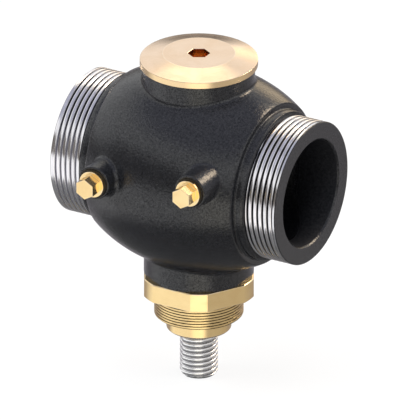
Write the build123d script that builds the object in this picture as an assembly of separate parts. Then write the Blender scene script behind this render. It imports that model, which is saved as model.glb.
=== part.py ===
from build123d import *
import os
from math import acos, cos, degrees, radians, sin, sqrt, tan

# All sizes are in millimetres.
# The pipe runs along X and the stem along Z.
# The pieces are drawn about the point where the two axes cross.
# At the end they move along X, so that the origin is the centre of the outlet's end face.

# Cast body: barrel, ports, boss and neck
face_to_face = 105.0
barrel_radius = 42.7
barrel_half_axis = 55.6
shoulder_half_length = 34.3
shoulder_round = 0.8
collar_half_length = 38.1
collar_diameter = 62.2
collar_chamfer = 0.3
collar_fillet = 1.0
port_thread_diameter = 59.614
port_thread_pitch = 2.309
port_thread_depth = 1.479
port_thread_turns = 6
port_crest_width = 1.1
port_lead_width = 0.15
port_relief_depth = 1.8
port_end_chamfer = 0.3
port_root_overlap = 8.0
port_bore_diameter = 44.0
port_mouth_chamfer = 0.9
top_boss_diameter = 45.6
top_boss_height = 45.6
neck_diameter = 44.7
neck_depth = 46.2
casting_fillet = 2.4

# Inner chambers and the partition between them
chamber_half_length = 60.0
chamber_half_width = 25.7
chamber_half_height = 32.6
bulb_radius = 33.5
web_thickness = 5.0
web_knee = 17.0
web_rise_angle = 65.0
web_bend_radius = 3.0
seat_boss_diameter = 39.0
seat_boss_height = 8.0

# Test points on the front of the body
test_point_offset = 22.5
inlet_test_height = 5.9
outlet_test_height = 12.3
test_boss_diameter = 14.2
test_boss_reach = 46.5
test_boss_fillet = 1.8
test_boss_edge = 0.5
test_thread_diameter = 9.73
test_thread_length = 8.0
test_flange_diameter = 11.1
test_flange_thickness = 1.8
test_hex_across_flats = 7.6
test_hex_length = 5.5
test_seal_thickness = 0.8
test_seal_width = 1.0
test_drill_diameter = 3.0
test_drill_angle = 25.0
test_thread_spare = 0.5

# Screwed closures in the boss and the neck
closure_thread_diameter = 36.0
closure_relief_diameter = 33.4
closure_seal_section = 2.3
plug_shank_length = 11.0
plug_rim_diameter = 48.0
plug_rim_height = 2.6
plug_bevel_height = 2.4
plug_rim_chamfer = 0.3
plug_top_diameter = 29.4
plug_cup_diameter = 24.0
plug_cup_roof = 4.6
key_across_flats = 8.0
key_depth = 6.0

# Bonnet
bonnet_hex_across_flats = 44.5
bonnet_turned_diameter = 47.7
bonnet_hex_height = 8.0
bonnet_shank_length = 10.7
bonnet_nose_diameter = 23.0
bonnet_nose_length = 3.5
actuator_thread_diameter = 36.3
actuator_thread_length = 9.1
actuator_relief_diameter = 35.0
actuator_relief_width = 1.7
edge_chamfer = 0.6

# Stem guide and packing, from the chamber outwards
stem_diameter = 10.0
bonnet_lip_thickness = 1.2
bush_outer_diameter = 15.0
bush_length = 6.2
packing_outer_diameter = 17.2
disc_spring_height = 1.6
disc_spring_thickness = 0.7
packing_washer_thickness = 1.3
packing_ring_height = 2.0
packing_ring_count = 3

# Gland nut and wiper
gland_collar_diameter = 26.4
gland_collar_height = 6.4
gland_thread_diameter = 23.0
gland_nose_length = 1.5
gland_wall = 2.2
gland_seal_section = 1.6
wiper_thickness = 1.5
wiper_outer_diameter = 14.8
head_clearance = 0.45

# Stem head, cone and seat
head_diameter = 15.4
head_pitch = 2.07
head_thread_depth = 0.95
head_crest_width = 0.5
head_turns = 9
head_length = 20.9
head_engagement = 0.5
head_chamfer = 1.0
tenon_diameter = 8.0
head_tenon_length = 12.0
tenon_spare = 0.5
stem_tip_reach = 1.0
stroke = 15.0
seat_bore_diameter = 26.0
seat_thread_diameter = 31.0
seat_flange_diameter = 33.6
seat_flange_thickness = 1.5
seat_lip_height = 1.0
seat_lip_width = 1.0
seat_bore_chamfer = 1.0
cone_disc_diameter = 30.4
cone_disc_thickness = 5.0
cone_disc_bevel = 1.0
cone_entry_gap = 0.35
cone_entry_height = 12.0
cone_entry_straight = 2.4
cone_entry_bend = 6.6
cone_entry_bend_drop = 1.6
cone_entry_top_diameter = 17.0
cone_hub_diameter = 15.0
cone_seal_thickness = 1.6
cone_seal_width = 2.0
cone_seal_offset = 0.3
tenon_shoulder_depth = 1.5
cone_washer_diameter = 15.0
cone_washer_thickness = 1.0
cone_nut_across_flats = 13.0
cone_nut_height = 5.0

# How far a cutter runs out past a face, and further than the barrel reaches
cut_past = 1.0
cut_clear = 2 * barrel_radius

# Clearances, each on the radius or on one face
screwed_gap = 0.05
running_gap = 0.06
bonnet_bore_gap = 0.36
spring_gap = 0.3
seal_gap = 0.04
stop_gap = 0.05


# Levels along the stem that several pieces share
half_length = face_to_face / 2
bonnet_hex_base = -neck_depth
bonnet_hex_end = bonnet_hex_base - bonnet_hex_height
bonnet_end = bonnet_hex_end - actuator_relief_width - actuator_thread_length
bonnet_nose_base = bonnet_hex_base + bonnet_shank_length
bonnet_top = bonnet_nose_base + bonnet_nose_length
bush_top = bonnet_top - bonnet_lip_thickness
bush_bottom = bush_top - bush_length
packing_washer_top = bush_bottom - 2 * disc_spring_height
packing_top = packing_washer_top - packing_washer_thickness
packing_bottom = packing_top - packing_ring_count * packing_ring_height
gland_thread_top = packing_bottom - gland_nose_length
wiper_top = packing_bottom - gland_wall
wiper_bottom = wiper_top - wiper_thickness
gland_end = bonnet_end - gland_collar_height
head_top = gland_end + head_engagement
head_end = head_top - head_length
seat_face = -seat_boss_height / 2 - seat_lip_height
cone_face = seat_face - stroke - stop_gap
cone_disc_base = cone_face - cone_disc_thickness
cone_hub_base = bonnet_top + stop_gap
cone_top = cone_face + cone_entry_height
cone_washer_top = cone_top + cone_washer_thickness
cone_nut_top = cone_washer_top + cone_nut_height
tenon_base = cone_disc_base - tenon_shoulder_depth


def turned(profile):
    """A solid turned about Z from its (radius, height) profile."""
    return revolve(Plane.XZ * make_face(Polyline(*profile, close=True)), Axis.Z)


def turned_about_pipe(profile):
    """A solid turned about X from its (length, radius) profile."""
    return revolve(make_face(Polyline(*profile, close=True)), Axis.X)


def rod(diameter, low, high):
    """A round bar on the stem's axis between two levels."""
    return Pos(0, 0, (low + high) / 2) * Cylinder(diameter / 2, high - low)


def ring(inner_radius, outer_radius, low, high):
    """A flat ring on the stem's axis between two levels."""
    return turned([(inner_radius, low), (outer_radius, low), (outer_radius, high), (inner_radius, high)])


def hex_bar(across_flats, low, high, turn=0.0):
    """A six-sided bar on the stem's axis, with two corners on X when it isn't turned."""
    outline = Rot(0, 0, turn) * RegularPolygon(across_flats / 2, 6, major_radius=False)
    return Pos(0, 0, low) * extrude(outline, high - low)


def ridges(start, turns, pitch, depth, crest_width, crest_radius):
    """Outline points of a thread drawn as rings, from one groove's floor to the last one's."""
    flank = (pitch - crest_width) / 2
    points = [(start, crest_radius - depth)]
    for turn in range(turns):
        groove = start + turn * pitch
        points.append((groove + flank, crest_radius))
        points.append((groove + flank + crest_width, crest_radius))
        points.append((groove + pitch, crest_radius - depth))
    return points


# Cast body

def barrel():
    """The round belly of the body, an ellipse turned about the pipe axis and cut off square."""
    share = shoulder_half_length / barrel_half_axis
    shoulder_radius = barrel_radius * sqrt(1 - share**2)
    edge_angle = degrees(acos(share))
    belly = EllipticalCenterArc(
        (0, 0),
        barrel_half_axis,
        barrel_radius,
        start_angle=edge_angle,
        arc_size=180 - 2 * edge_angle,
    )
    left = -shoulder_half_length
    right = shoulder_half_length
    sides = Polyline((left, shoulder_radius), (left, 0), (right, 0), (right, shoulder_radius))
    solid = revolve(make_face(belly + sides), Axis.X)
    rims = solid.edges().filter_by(GeomType.CIRCLE)
    return fillet(rims, shoulder_round)


def port():
    """One threaded end with its plain collar, pointing along +X."""
    crest = port_thread_diameter / 2
    relief = crest - port_relief_depth
    collar = collar_diameter / 2
    first_groove = half_length - port_thread_turns * port_thread_pitch
    lead = first_groove - port_lead_width
    inner_end = shoulder_half_length - port_root_overlap
    outline = [
        (inner_end, 0),
        (inner_end, collar),
        (collar_half_length - collar_chamfer, collar),
        (collar_half_length, collar - collar_chamfer),
        (collar_half_length, relief),
        (lead, relief),
        (lead, crest),
    ]
    thread = ridges(
        first_groove, port_thread_turns, port_thread_pitch, port_thread_depth, port_crest_width, crest
    )
    # The outermost crest has no groove after it: it runs on to the chamfer of the end face
    outline += thread[:-2]
    outline += [
        (half_length - port_end_chamfer, crest),
        (half_length, crest - port_end_chamfer),
        (half_length, 0),
    ]
    return turned_about_pipe(outline)


def test_boss(x, z):
    """A round boss that stands out of the front of the barrel."""
    bar = Cylinder(test_boss_diameter / 2, test_boss_reach, align=(Align.CENTER, Align.CENTER, Align.MIN))
    front_rim = bar.edges().filter_by(GeomType.CIRCLE).sort_by(Axis.Z)[-1]
    return Pos(x, 0, z) * Rot(90, 0, 0) * fillet(front_rim, test_boss_edge)


def web():
    """The S-shaped partition: level at the seat, rising to one port and falling to the other."""
    half = web_thickness / 2
    rise = radians(web_rise_angle)
    shift = half * tan(rise / 2)
    run = (barrel_radius - web_thickness) / sin(rise)
    end_x = web_knee + run * cos(rise)
    end_z = run * sin(rise)
    right_side = [
        (web_knee - shift, half),
        (end_x - half * sin(rise), end_z + half * cos(rise)),
        (end_x + half * sin(rise), end_z - half * cos(rise)),
        (web_knee + shift, -half),
    ]
    left_side = [(-x, -z) for x, z in right_side]
    plate = make_face(Polyline(*(right_side + left_side), close=True))
    solid = extrude(Plane.XZ * plate, barrel_radius, both=True)
    knees = solid.edges().filter_by(Axis.Y).filter_by(lambda e: abs(e.center().Z) < half + 0.01)
    return fillet(knees, web_bend_radius)


def chambers():
    """The hollow inside the body, with the partition and the seat's boss left standing."""
    bulb = Sphere(bulb_radius)
    flare = scale(Sphere(1), by=(chamber_half_length, chamber_half_width, chamber_half_height))
    bore = Rot(0, 90, 0) * Cylinder(port_bore_diameter / 2, 2 * face_to_face)
    ends = bore - Rot(0, 90, 0) * Cylinder(port_bore_diameter, face_to_face / 2)
    hollow = bulb + flare + ends
    return hollow - web() - rod(seat_boss_diameter, -seat_boss_height / 2, seat_boss_height / 2)


def machined_bores():
    """Every hole that is drilled or turned on the stem's axis."""
    half_boss = seat_boss_height / 2
    seal_radius = closure_relief_diameter / 2 + closure_seal_section + 2 * seal_gap
    flange_low = half_boss - seat_flange_thickness
    seal_depth = closure_seal_section + seal_gap
    above = rod(closure_thread_diameter, half_boss, cut_clear)
    below = rod(closure_thread_diameter, -cut_clear, -half_boss)
    top_seal = rod(2 * seal_radius, top_boss_height - seal_depth, cut_clear)
    neck_seal = rod(2 * seal_radius, -cut_clear, -neck_depth + seal_depth)
    seat_hole = rod(seat_thread_diameter, -half_boss, half_boss)
    seat_rebate = rod(seat_flange_diameter + 2 * screwed_gap, flange_low, half_boss)
    return above + below + top_seal + neck_seal + seat_hole + seat_rebate


def port_mouth():
    """The chamfered rim of a port bore, at the +X end."""
    radius = port_bore_diameter / 2
    return turned_about_pipe(
        [
            (half_length + cut_past, 0),
            (half_length + cut_past, radius + port_mouth_chamfer + cut_past),
            (half_length - port_mouth_chamfer, radius),
            (half_length - port_mouth_chamfer, 0),
        ]
    )


def test_hole(x, z):
    """The screwed hole, its seal recess and the slanted drilling to the chamber."""
    recess_radius = test_thread_diameter / 2 + test_seal_width + seal_gap
    front = -test_boss_reach
    thread = Cylinder(test_thread_diameter / 2, test_thread_length + cut_past)
    recess = Cylinder(recess_radius, test_seal_thickness + cut_past)
    drill = Cylinder(test_drill_diameter / 2, test_boss_reach / 2)
    side = 1 if x > 0 else -1
    middle = test_boss_reach / 4
    turn = radians(test_drill_angle)
    hole = Pos(x, front + (test_thread_length - cut_past) / 2, z) * Rot(90, 0, 0) * thread
    hole += Pos(x, front + (test_seal_thickness - cut_past) / 2, z) * Rot(90, 0, 0) * recess
    start = Pos(x + side * middle * sin(turn), front + test_thread_length + middle * cos(turn), z)
    hole += start * Rot(90, 0, -side * test_drill_angle) * drill
    return hole


def valve_body():
    """The casting, from its outer skin down to its machined holes."""
    shell = barrel()
    bars = [
        (rod(top_boss_diameter, 0, top_boss_height), casting_fillet),
        (rod(neck_diameter, -neck_depth, 0), casting_fillet),
        (test_boss(-test_point_offset, inlet_test_height), test_boss_fillet),
        (test_boss(test_point_offset, outlet_test_height), test_boss_fillet),
        (port(), collar_fillet),
        (mirror(port(), Plane.YZ), collar_fillet),
    ]
    for bar, radius in bars:
        joined = shell + bar
        seam = new_edges(shell, bar, combined=joined)
        shell = fillet(seam, radius)
    shell -= chambers()
    shell -= machined_bores()
    shell -= port_mouth()
    shell -= mirror(port_mouth(), Plane.YZ)
    shell -= test_hole(-test_point_offset, inlet_test_height)
    shell -= test_hole(test_point_offset, outlet_test_height)
    return shell


# Closures and their seals

def closure_shank(face, end):
    """The screwed part of a closure, with the relief that holds its seal."""
    outward = 1 if face > 0 else -1
    thread_radius = closure_thread_diameter / 2 - screwed_gap
    relief_radius = closure_relief_diameter / 2
    seal_floor = face - outward * (closure_seal_section + 2 * seal_gap)
    return turned(
        [
            (0, face),
            (relief_radius, face),
            (relief_radius, seal_floor),
            (thread_radius, seal_floor - outward * edge_chamfer),
            (thread_radius, end + outward * edge_chamfer),
            (thread_radius - edge_chamfer, end),
            (0, end),
        ]
    )


def closure_seal(face):
    """The square-section seal in the corner under a closure's flange."""
    outward = 1 if face > 0 else -1
    inner = closure_relief_diameter / 2 + seal_gap
    near = face - outward * seal_gap
    far = near - outward * closure_seal_section
    return ring(inner, inner + closure_seal_section, min(near, far), max(near, far))


def top_plug():
    """The plug over the seat, with a bevelled head and a six-sided key socket."""
    rim_top = top_boss_height + plug_rim_height
    head_top_level = rim_top + plug_bevel_height
    head = turned(
        [
            (0, top_boss_height),
            (plug_rim_diameter / 2 - plug_rim_chamfer, top_boss_height),
            (plug_rim_diameter / 2, top_boss_height + plug_rim_chamfer),
            (plug_rim_diameter / 2, rim_top),
            (plug_top_diameter / 2, head_top_level),
            (0, head_top_level),
        ]
    )
    shank_end = top_boss_height - plug_shank_length
    key = hex_bar(key_across_flats, head_top_level - key_depth, head_top_level + cut_past, turn=30)
    cup_roof = head_top_level - key_depth - plug_cup_roof
    cup = rod(plug_cup_diameter, shank_end - cut_past, cup_roof)
    return head + closure_shank(top_boss_height, shank_end) - key - cup


def test_plug(x, z):
    """A small brass plug: six-sided head, round flange and screwed shank."""
    shank_length = test_thread_length - test_thread_spare
    shank = Cylinder(test_thread_diameter / 2 - screwed_gap, shank_length)
    flange = Cylinder(test_flange_diameter / 2, test_flange_thickness)
    outline = Rot(0, 0, 90) * RegularPolygon(test_hex_across_flats / 2, 6, major_radius=False)
    head = extrude(outline, test_hex_length)
    plug = Pos(0, 0, -shank_length / 2) * shank
    plug += Pos(0, 0, test_flange_thickness / 2) * flange
    plug += Pos(0, 0, test_flange_thickness) * head
    return Pos(x, -test_boss_reach, z) * Rot(90, 0, 0) * plug


def test_seal(x, z):
    """The flat ring that lies in the recess under a test plug's flange."""
    inner = test_thread_diameter / 2 + seal_gap
    outer = test_thread_diameter / 2 + test_seal_width
    return Pos(x, -test_boss_reach, z) * Rot(90, 0, 0) * ring(inner, outer, -test_seal_thickness, 0)


# Bonnet, guide and packing

def bonnet():
    """Six-sided flange, shank into the neck, nose towards the cone and the actuator's thread."""
    flange = hex_bar(bonnet_hex_across_flats, bonnet_hex_end, bonnet_hex_base)
    flange = flange & rod(bonnet_turned_diameter, bonnet_hex_end, bonnet_hex_base)
    shank = closure_shank(bonnet_hex_base, bonnet_nose_base)
    nose = rod(bonnet_nose_diameter, bonnet_nose_base, bonnet_top)
    thread_top = bonnet_hex_end - actuator_relief_width
    outer = turned(
        [
            (0, bonnet_hex_end),
            (actuator_relief_diameter / 2, bonnet_hex_end),
            (actuator_relief_diameter / 2, thread_top),
            (actuator_thread_diameter / 2, thread_top),
            (actuator_thread_diameter / 2, bonnet_end + edge_chamfer),
            (actuator_thread_diameter / 2 - edge_chamfer, bonnet_end),
            (0, bonnet_end),
        ]
    )
    bore = rod(stem_diameter + bonnet_bore_gap, bush_top, bonnet_top)
    bore += rod(bush_outer_diameter, bush_bottom, bush_top)
    bore += rod(packing_outer_diameter, gland_thread_top, bush_bottom)
    bore += rod(gland_thread_diameter, bonnet_end, gland_thread_top)
    return flange + shank + nose + outer - bore


def stem_bush():
    """The plain bush that guides the stem beside the chamber."""
    inner = stem_diameter / 2 + running_gap
    outer = bush_outer_diameter / 2 - screwed_gap
    return ring(inner, outer, bush_bottom, bush_top)


def disc_spring(top, upright):
    """A conical spring washer; the pair that preloads the packing stands rim to rim."""
    inner = stem_diameter / 2 + spring_gap
    outer = packing_outer_diameter / 2 - screwed_gap
    bottom = top - disc_spring_height
    high = [(inner, top), (outer, bottom + disc_spring_thickness), (outer, bottom)]
    cone_shape = high + [(inner, top - disc_spring_thickness)]
    if not upright:
        cone_shape = [(radius, top + bottom - level) for radius, level in cone_shape]
    return turned(cone_shape)


def packing_piece(high, low):
    """A ring that fills the packing chamber round the stem between two levels."""
    inner = stem_diameter / 2 + running_gap
    return ring(inner, packing_outer_diameter / 2 - screwed_gap, low, high)


def gland_nut():
    """The nut that holds the packing, with a collar outside and room for the stem's head."""
    thread_radius = gland_thread_diameter / 2 - screwed_gap
    groove_radius = gland_thread_diameter / 2 - gland_seal_section
    groove_top = bonnet_end + gland_seal_section + 2 * seal_gap
    collar_radius = gland_collar_diameter / 2
    nut = turned(
        [
            (0, packing_bottom),
            (packing_outer_diameter / 2 - screwed_gap, packing_bottom),
            (packing_outer_diameter / 2 - screwed_gap, gland_thread_top),
            (thread_radius, gland_thread_top),
            (thread_radius, groove_top),
            (groove_radius, groove_top),
            (groove_radius, bonnet_end),
            (collar_radius, bonnet_end),
            (collar_radius, gland_end + edge_chamfer),
            (collar_radius - edge_chamfer, gland_end),
            (0, gland_end),
        ]
    )
    bore = rod(stem_diameter + 2 * running_gap, wiper_top, packing_bottom)
    bore += rod(wiper_outer_diameter, wiper_bottom, wiper_top)
    bore += rod(head_diameter + 2 * head_clearance, gland_end, wiper_bottom)
    return nut - bore


def gland_seal():
    """The square-section seal between the gland nut and the end of the bonnet."""
    inner = gland_thread_diameter / 2 - gland_seal_section + seal_gap
    outer = gland_thread_diameter / 2 - seal_gap
    low = bonnet_end + seal_gap
    return ring(inner, outer, low, low + gland_seal_section)


def wiper_ring():
    """The soft ring at the outer end of the gland that keeps dirt off the stem."""
    inner = stem_diameter / 2 + running_gap
    return ring(inner, wiper_outer_diameter / 2 - screwed_gap, wiper_bottom, wiper_top)


# Seat, cone and stem

def seat_ring():
    """The seat, screwed in from above, with a raised lip that faces the cone."""
    bore_radius = seat_bore_diameter / 2
    thread_radius = seat_thread_diameter / 2 - screwed_gap
    half_boss = seat_boss_height / 2
    flange_low = half_boss - seat_flange_thickness
    lip_radius = bore_radius + seat_lip_width
    return turned(
        [
            (bore_radius, seat_face),
            (lip_radius, seat_face),
            (lip_radius + seat_lip_height, -half_boss),
            (thread_radius, -half_boss),
            (thread_radius, flange_low),
            (seat_flange_diameter / 2, flange_low),
            (seat_flange_diameter / 2, half_boss),
            (bore_radius + seat_bore_chamfer, half_boss),
            (bore_radius, half_boss - seat_bore_chamfer),
        ]
    )


def seal_groove_radii():
    """Inner and outer radius of the cone's seal, centred under the seat's lip."""
    middle = (seat_bore_diameter + seat_lip_width) / 2 + cone_seal_offset
    return middle - cone_seal_width / 2, middle + cone_seal_width / 2


def cone():
    """The throttling body: a disc that closes on the seat and a tapered entry above it."""
    entry_radius = seal_groove_radii()[0] - cone_entry_gap
    cone_solid = turned(
        [
            (0, cone_top),
            (cone_entry_top_diameter / 2, cone_top),
            (entry_radius - cone_entry_bend_drop, cone_face + cone_entry_bend),
            (entry_radius, cone_face + cone_entry_straight),
            (entry_radius, cone_face),
            (cone_disc_diameter / 2, cone_face),
            (cone_disc_diameter / 2, cone_disc_base + cone_disc_bevel),
            (cone_disc_diameter / 2 - cone_disc_bevel, cone_disc_base),
            (cone_hub_diameter / 2, cone_disc_base),
            (cone_hub_diameter / 2, cone_hub_base),
            (0, cone_hub_base),
        ]
    )
    inner, outer = seal_groove_radii()
    groove = ring(inner, outer, cone_face - cone_seal_thickness, cone_face + cut_past)
    bore = rod(tenon_diameter + 2 * screwed_gap, tenon_base, cone_top)
    bore += rod(stem_diameter + 2 * screwed_gap, cone_hub_base, tenon_base)
    return cone_solid - groove - bore


def cone_seal():
    """The soft ring let into the disc's face."""
    inner, outer = seal_groove_radii()
    return ring(inner + seal_gap, outer - seal_gap, cone_face - cone_seal_thickness, cone_face)


def cone_washer():
    """The washer under the cone's nut."""
    inner = tenon_diameter / 2 + screwed_gap
    return ring(inner, cone_washer_diameter / 2, cone_top, cone_washer_top)


def cone_nut():
    """The six-sided nut that clamps the cone to the stem."""
    nut = hex_bar(cone_nut_across_flats, cone_washer_top, cone_nut_top)
    return nut - rod(tenon_diameter + 2 * screwed_gap, cone_washer_top, cone_nut_top)


def stem():
    """The polished rod, with a tenon at each end for the cone and the head."""
    shank_radius = stem_diameter / 2
    tenon_radius = tenon_diameter / 2
    tip = head_top - head_tenon_length
    stem_top = cone_nut_top + stem_tip_reach
    return turned(
        [
            (0, tip),
            (tenon_radius, tip),
            (tenon_radius, head_top),
            (shank_radius, head_top),
            (shank_radius, tenon_base),
            (tenon_radius, tenon_base),
            (tenon_radius, stem_top - edge_chamfer),
            (tenon_radius - edge_chamfer, stem_top),
            (0, stem_top),
        ]
    )


def stem_head():
    """The screwed end that the actuator's coupling grips."""
    crest = head_diameter / 2
    root = crest - head_thread_depth
    thread_end = head_end + head_chamfer
    thread = ridges(
        thread_end, head_turns, head_pitch, head_thread_depth, head_crest_width, crest
    )
    outline = [(0, head_end), (root - head_chamfer / 2, head_end)]
    outline += [(radius, level) for level, radius in thread]
    outline += [(root, head_top), (0, head_top)]
    hole_end = head_top - head_tenon_length - tenon_spare
    hole = rod(tenon_diameter + 2 * screwed_gap, hole_end, head_top)
    return turned(outline) - hole


nodes = {
    "valve_body": valve_body(),
    "top_plug": top_plug(),
    "top_plug_seal": closure_seal(top_boss_height),
    "inlet_test_plug": test_plug(-test_point_offset, inlet_test_height),
    "outlet_test_plug": test_plug(test_point_offset, outlet_test_height),
    "inlet_test_seal": test_seal(-test_point_offset, inlet_test_height),
    "outlet_test_seal": test_seal(test_point_offset, outlet_test_height),
    "seat_ring": seat_ring(),
    "bonnet": bonnet(),
    "bonnet_seal": closure_seal(bonnet_hex_base),
    "stem_bush": stem_bush(),
    "upper_disc_spring": disc_spring(bush_bottom, True),
    "lower_disc_spring": disc_spring(bush_bottom - disc_spring_height, False),
    "packing_washer": packing_piece(packing_washer_top, packing_top),
    "gland_nut": gland_nut(),
    "gland_seal": gland_seal(),
    "wiper_ring": wiper_ring(),
    "cone": cone(),
    "cone_seal": cone_seal(),
    "cone_washer": cone_washer(),
    "cone_nut": cone_nut(),
    "stem": stem(),
    "stem_head": stem_head(),
}
for index in range(packing_ring_count):
    high = packing_top - index * packing_ring_height
    nodes[f"packing_ring_{index + 1}"] = packing_piece(high, high - packing_ring_height)

os.makedirs("parts", exist_ok=True)
outlet_at_origin = Pos(-half_length, 0, 0)
for name, solid in nodes.items():
    export_step(outlet_at_origin * solid, f"parts/{name}.step")
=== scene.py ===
"""The two-way control valve, dressed for the photograph."""
import bmesh
import bpy
from math import atan2, cos, hypot, pi, radians, sin
from mathutils import Matrix, Vector


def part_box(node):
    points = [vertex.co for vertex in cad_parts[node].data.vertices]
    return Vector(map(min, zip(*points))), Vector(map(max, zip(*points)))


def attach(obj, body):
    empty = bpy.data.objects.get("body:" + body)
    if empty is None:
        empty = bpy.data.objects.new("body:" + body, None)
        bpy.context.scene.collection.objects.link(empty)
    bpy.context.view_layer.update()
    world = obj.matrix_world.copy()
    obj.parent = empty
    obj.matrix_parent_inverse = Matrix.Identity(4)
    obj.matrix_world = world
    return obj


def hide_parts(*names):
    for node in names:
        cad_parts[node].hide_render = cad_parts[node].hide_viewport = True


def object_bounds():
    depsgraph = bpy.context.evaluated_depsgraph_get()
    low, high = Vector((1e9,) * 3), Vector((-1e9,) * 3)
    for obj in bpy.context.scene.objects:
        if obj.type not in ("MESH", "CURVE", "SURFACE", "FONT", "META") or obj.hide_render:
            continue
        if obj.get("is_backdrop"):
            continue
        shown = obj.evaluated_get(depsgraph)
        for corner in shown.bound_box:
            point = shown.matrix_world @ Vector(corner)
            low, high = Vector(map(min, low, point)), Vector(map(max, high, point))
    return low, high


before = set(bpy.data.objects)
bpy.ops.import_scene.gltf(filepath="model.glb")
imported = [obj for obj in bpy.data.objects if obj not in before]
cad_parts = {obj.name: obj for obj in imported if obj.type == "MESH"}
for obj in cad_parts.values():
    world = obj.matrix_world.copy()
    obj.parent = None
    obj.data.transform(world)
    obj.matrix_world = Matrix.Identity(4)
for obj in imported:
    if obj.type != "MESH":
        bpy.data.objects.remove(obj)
cad_low, cad_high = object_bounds()

MM = 0.001

# Places read from the frame
body_low, body_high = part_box("valve_body")
plug_low, plug_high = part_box("top_plug")
bonnet_low, bonnet_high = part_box("bonnet")
gland_low, gland_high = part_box("gland_nut")
head_low, head_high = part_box("stem_head")
stem_low, stem_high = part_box("stem")
outlet_x = body_high.x
inlet_x = body_low.x
stem_x = (stem_low.x + stem_high.x) / 2
top_face = body_high.z
neck_face = body_low.z

# Port threads, in metres like everything below
port_crest = 29.807 * MM
port_depth = 1.479 * MM
port_pitch = 2.309 * MM
port_thread_length = 13.7 * MM
port_end_chamfer = 0.3 * MM
port_end_crest = 1.4045 * MM
port_core = 27.9 * MM
port_bore = 22.1 * MM
port_bore_fade = 0.3 * MM
chamber_end = 38.0 * MM
chamber_fade = 6.0 * MM

# Closing plug
plug_rim = (plug_high.x - plug_low.x) / 2
plug_rim_height = 2.6 * MM
plug_flat = 14.7 * MM
plug_relief = 16.7 * MM
plug_relief_depth = 2.4 * MM
plug_shank = 17.95 * MM
plug_cup = 12.0 * MM
plug_cup_roof = 4.6 * MM
plug_edge = 0.12 * MM
key_flats = 8.0 * MM
key_depth = 6.0 * MM
key_point = 0.6 * MM
key_mouth = 0.12 * MM

# Test plugs
test_flats = 7.6 * MM
test_flange = 5.55 * MM
test_flange_height = 1.8 * MM
test_head_height = 5.5 * MM
test_shank = 4.8 * MM
test_shank_length = 7.5 * MM
test_edge = 0.13 * MM

# Bonnet and gland
bonnet_flats = 44.5 * MM
bonnet_turned = 23.85 * MM
bonnet_flange_height = 8.0 * MM
bonnet_chamfer = 0.4 * MM
bonnet_edge = 0.15 * MM
bonnet_nose = 11.5 * MM
bonnet_nose_base = 10.7 * MM
bonnet_shank = 17.95 * MM
bonnet_relief = 16.7 * MM
bonnet_relief_width = 2.4 * MM
bonnet_bore = 5.3 * MM
bonnet_recess = 11.5 * MM
bonnet_roof = 12.0 * MM
actuator_relief = 17.5 * MM
actuator_relief_width = 1.7 * MM
actuator_crest = 18.15 * MM
actuator_pitch = 1.19 * MM
actuator_depth = 0.55 * MM
actuator_core = actuator_crest - actuator_depth - 0.05 * MM
gland_collar = 13.2 * MM
gland_chamfer = 0.5 * MM
gland_edge = 0.2 * MM
gland_nose = 8.5 * MM
gland_cone_height = 1.5 * MM
gland_shank = 11.4 * MM
gland_bore = 5.1 * MM
gland_recess = 8.15 * MM
gland_recess_roof = 3.7 * MM
gland_bore_roof = 2.2 * MM

# Stem head
head_crest = (head_high.x - head_low.x) / 2
head_pitch = 2.07 * MM
head_depth = 0.95 * MM
head_core = 5.7 * MM
head_bore = 4.05 * MM
head_bore_depth = 12.5 * MM
head_lead = 1.2 * MM


# Node trees

def place(tree, kind, **settings):
    """Adds a node and gives it its settings."""
    node = tree.nodes.new(kind)
    for name, value in settings.items():
        setattr(node, name, value)
    return node


def feed(tree, socket, value):
    """Links an output to a socket, or writes a plain value into it."""
    if isinstance(value, bpy.types.NodeSocket):
        tree.links.new(value, socket)
    else:
        socket.default_value = value


def calc(tree, operation, first, second=0.0, third=0.0):
    """One step of arithmetic, in a shader or in a geometry tree."""
    node = place(tree, "ShaderNodeMath", operation=operation)
    for socket, value in zip(node.inputs, (first, second, third)):
        feed(tree, socket, value)
    return node.outputs[0]


def pull(tree, value, low, high, to_low=0.0, to_high=1.0, shape="LINEAR"):
    """Maps a value from one range to another and holds it at the ends."""
    node = place(tree, "ShaderNodeMapRange", interpolation_type=shape)
    for socket, number in zip(node.inputs, (value, low, high, to_low, to_high)):
        feed(tree, socket, number)
    return node.outputs[0]


def split(tree, vector):
    """The three parts of a vector."""
    node = place(tree, "ShaderNodeSeparateXYZ")
    feed(tree, node.inputs[0], vector)
    return node.outputs


def work_on(tree, operation, vector, other=None):
    """One step of vector work; other is a plain vector."""
    node = place(tree, "ShaderNodeVectorMath", operation=operation)
    feed(tree, node.inputs[0], vector)
    if other is not None:
        node.inputs[1].default_value = other
    return node.outputs["Value"] if operation in ("LENGTH", "DOT_PRODUCT") else node.outputs[0]


def noise(tree, vector, scale, detail=2.0, roughness=0.5, distortion=0.0):
    """A noise value at a place."""
    node = place(tree, "ShaderNodeTexNoise")
    feed(tree, node.inputs["Vector"], vector)
    feed(tree, node.inputs["Scale"], scale)
    feed(tree, node.inputs["Detail"], detail)
    feed(tree, node.inputs["Roughness"], roughness)
    feed(tree, node.inputs["Distortion"], distortion)
    return node.outputs[0]


def blend_colour(tree, share, first, second):
    """Two colours mixed by a share."""
    node = place(tree, "ShaderNodeMix", data_type="RGBA")
    feed(tree, node.inputs[0], share)
    feed(tree, node.inputs[6], first)
    feed(tree, node.inputs[7], second)
    return node.outputs[2]


def new_group(name, kind, inputs, outputs):
    """An empty node group with named sockets."""
    group = bpy.data.node_groups.new(name, kind)
    for label, socket_kind, default in inputs:
        socket = group.interface.new_socket(label, in_out="INPUT", socket_type=socket_kind)
        if default is not None:
            socket.default_value = default
    for label, socket_kind in outputs:
        group.interface.new_socket(label, in_out="OUTPUT", socket_type=socket_kind)
    return group, group.nodes.new("NodeGroupInput"), group.nodes.new("NodeGroupOutput")


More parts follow.
